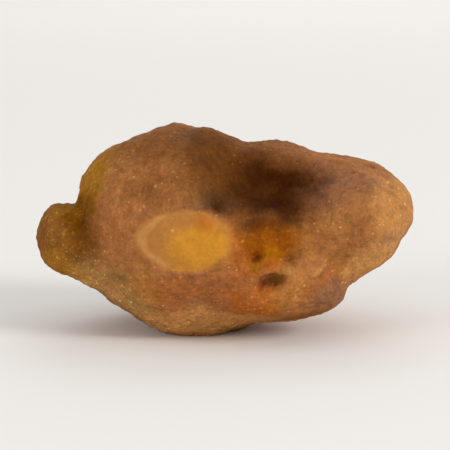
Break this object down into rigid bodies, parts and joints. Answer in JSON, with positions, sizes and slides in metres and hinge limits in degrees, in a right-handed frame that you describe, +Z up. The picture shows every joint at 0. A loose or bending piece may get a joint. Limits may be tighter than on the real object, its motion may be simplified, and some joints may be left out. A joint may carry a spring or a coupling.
{
  "type": "white truffle",
  "caption": "Whole white truffle, a lumpy underground mushroom with a matte tan skin, furrows, small pits and a bald golden patch, resting on a small flat spot.",
  "frame": {"origin": "under the middle of the footprint, on the surface that the truffle rests on", "axes": "+X along the truffle's length, from the narrow nose to the broad end; +Z up; the side that the picture shows faces -Y"},
  "size_m": [0.038, 0.027, 0.021],
  "materials": {
    "skin": "soft matte tan-brown skin, a little moist"
  },
  "bodies": {
    "root": {"truffle": "skin"}
  },
  "joints": []
}
